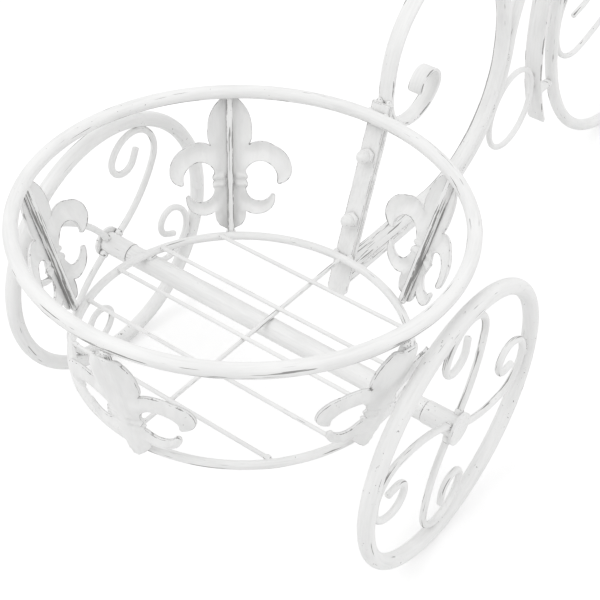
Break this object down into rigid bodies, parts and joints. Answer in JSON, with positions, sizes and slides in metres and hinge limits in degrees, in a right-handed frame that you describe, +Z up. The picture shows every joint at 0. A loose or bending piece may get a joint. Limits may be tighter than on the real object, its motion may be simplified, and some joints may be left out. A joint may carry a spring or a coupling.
{
  "type": "flower cart stand",
  "caption": "Wire plant stand shaped like an old high-wheeled cart: round baskets for pots above small rolling wheels and a large fixed front wheel, with a handlebar.",
  "frame": {"origin": "on the ground under the middle of the cart's bounding box", "axes": "+X the way the cart points, towards the large wheel; +Y the cart's left side; +Z up"},
  "size_m": [0.9585, 0.304, 0.671],
  "materials": {
    "white_paint": "satin",
    "painted_hardware": "satin"
  },
  "bodies": {
    "frame": {"axle_rod": "white_paint", "axle_tube": "white_paint", "basket_floor_ring": "white_paint", "basket_floor_wire_1": "white_paint", "basket_floor_wire_2": "white_paint", "basket_floor_wire_3": "white_paint", "basket_floor_wire_4": "white_paint", "basket_floor_wire_5": "white_paint", "basket_leaf_1": "white_paint", "basket_leaf_2": "white_paint", "basket_leaf_3": "white_paint", "basket_leaf_4": "white_paint", "basket_leaf_5": "white_paint", "basket_long_wire": "white_paint", "basket_rim": "white_paint", "basket_strap": "white_paint", "basket_upright_1": "white_paint", "basket_upright_2": "white_paint", "basket_upright_3": "white_paint", "basket_upright_4": "white_paint", "basket_upright_5": "white_paint", "fender": "white_paint", "fender_stubs": "white_paint", "flat_scroll": "white_paint", "frame_ring": "white_paint", "frame_strap": "white_paint", "front_wheel_hub": "white_paint", "front_wheel_ring": "white_paint", "front_wheel_scroll_a": "white_paint", "front_wheel_scroll_b": "white_paint", "handlebar": "white_paint", "left_axle_cap": "white_paint", "left_knob": "white_paint", "main_tube": "white_paint", "post": "white_paint", "post_bolts": "painted_hardware", "post_nuts": "painted_hardware", "right_axle_cap": "white_paint", "right_knob": "white_paint", "second_tube": "white_paint", "strap_bolts": "painted_hardware", "strap_nuts": "painted_hardware", "upper_basket_floor_ring": "white_paint", "upper_basket_floor_wires": "white_paint", "upper_basket_leaf_1": "white_paint", "upper_basket_leaf_2": "white_paint", "upper_basket_leaf_3": "white_paint", "upper_basket_leaf_4": "white_paint", "upper_basket_leaf_5": "white_paint", "upper_basket_rim": "white_paint", "upper_basket_uprights": "white_paint", "upper_strap": "white_paint"},
    "right_wheel": {"right_wheel_ring": "white_paint", "right_wheel_scroll_a": "white_paint", "right_wheel_scroll_b": "white_paint", "right_wheel_hub": "white_paint"},
    "left_wheel": {"left_wheel_ring": "white_paint", "left_wheel_scroll_a": "white_paint", "left_wheel_scroll_b": "white_paint", "left_wheel_hub": "white_paint"}
  },
  "joints": [
    {"name": "right_wheel_spin", "type": "hinge", "parent": "frame", "child": "right_wheel", "pos_m": [-0.30412, -0.1465, 0.102], "axis": [0, 1, 0], "continuous": true},
    {"name": "left_wheel_spin", "type": "hinge", "parent": "frame", "child": "left_wheel", "pos_m": [-0.30412, 0.1465, 0.102], "axis": [0, 1, 0], "continuous": true}
  ]
}
